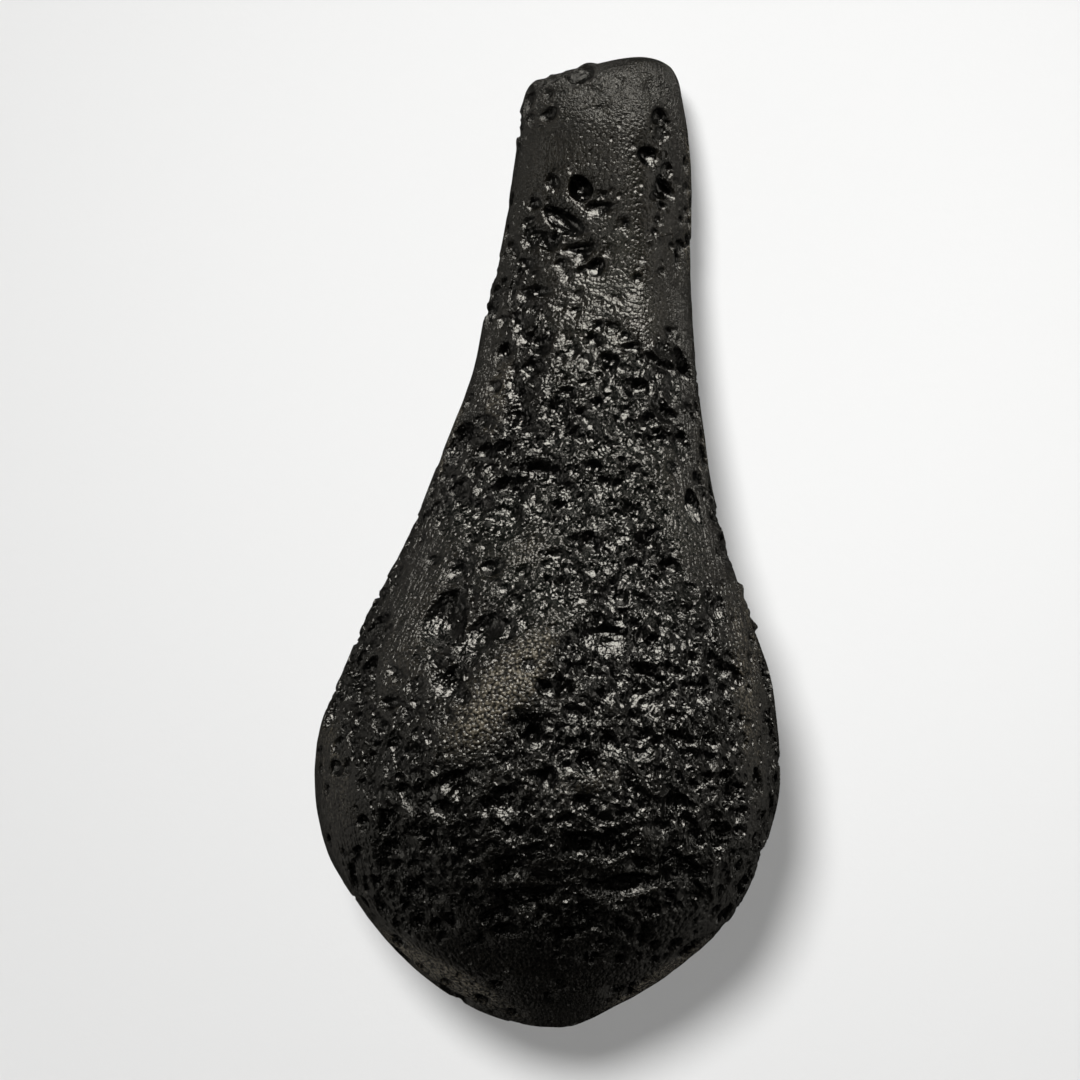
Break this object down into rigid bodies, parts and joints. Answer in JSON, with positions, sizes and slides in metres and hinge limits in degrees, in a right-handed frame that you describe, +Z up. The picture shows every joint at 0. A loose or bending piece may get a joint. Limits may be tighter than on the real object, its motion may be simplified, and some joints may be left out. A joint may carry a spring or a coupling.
{
  "type": "tektite",
  "caption": "Teardrop of natural black glass with a fat bulb, a long blunt neck and a deeply pitted satin skin, lying on its side.",
  "frame": {"origin": "on the surface it rests on, under the middle of the drop's bounding box", "axes": "+Y along the drop towards the end of the neck, +Z up, +X to the right seen from above with the neck away from the viewer"},
  "size_m": [0.0364, 0.0767, 0.03],
  "materials": {
    "black_glass": "satin"
  },
  "bodies": {
    "root": {"tektite": "black_glass"}
  },
  "joints": []
}
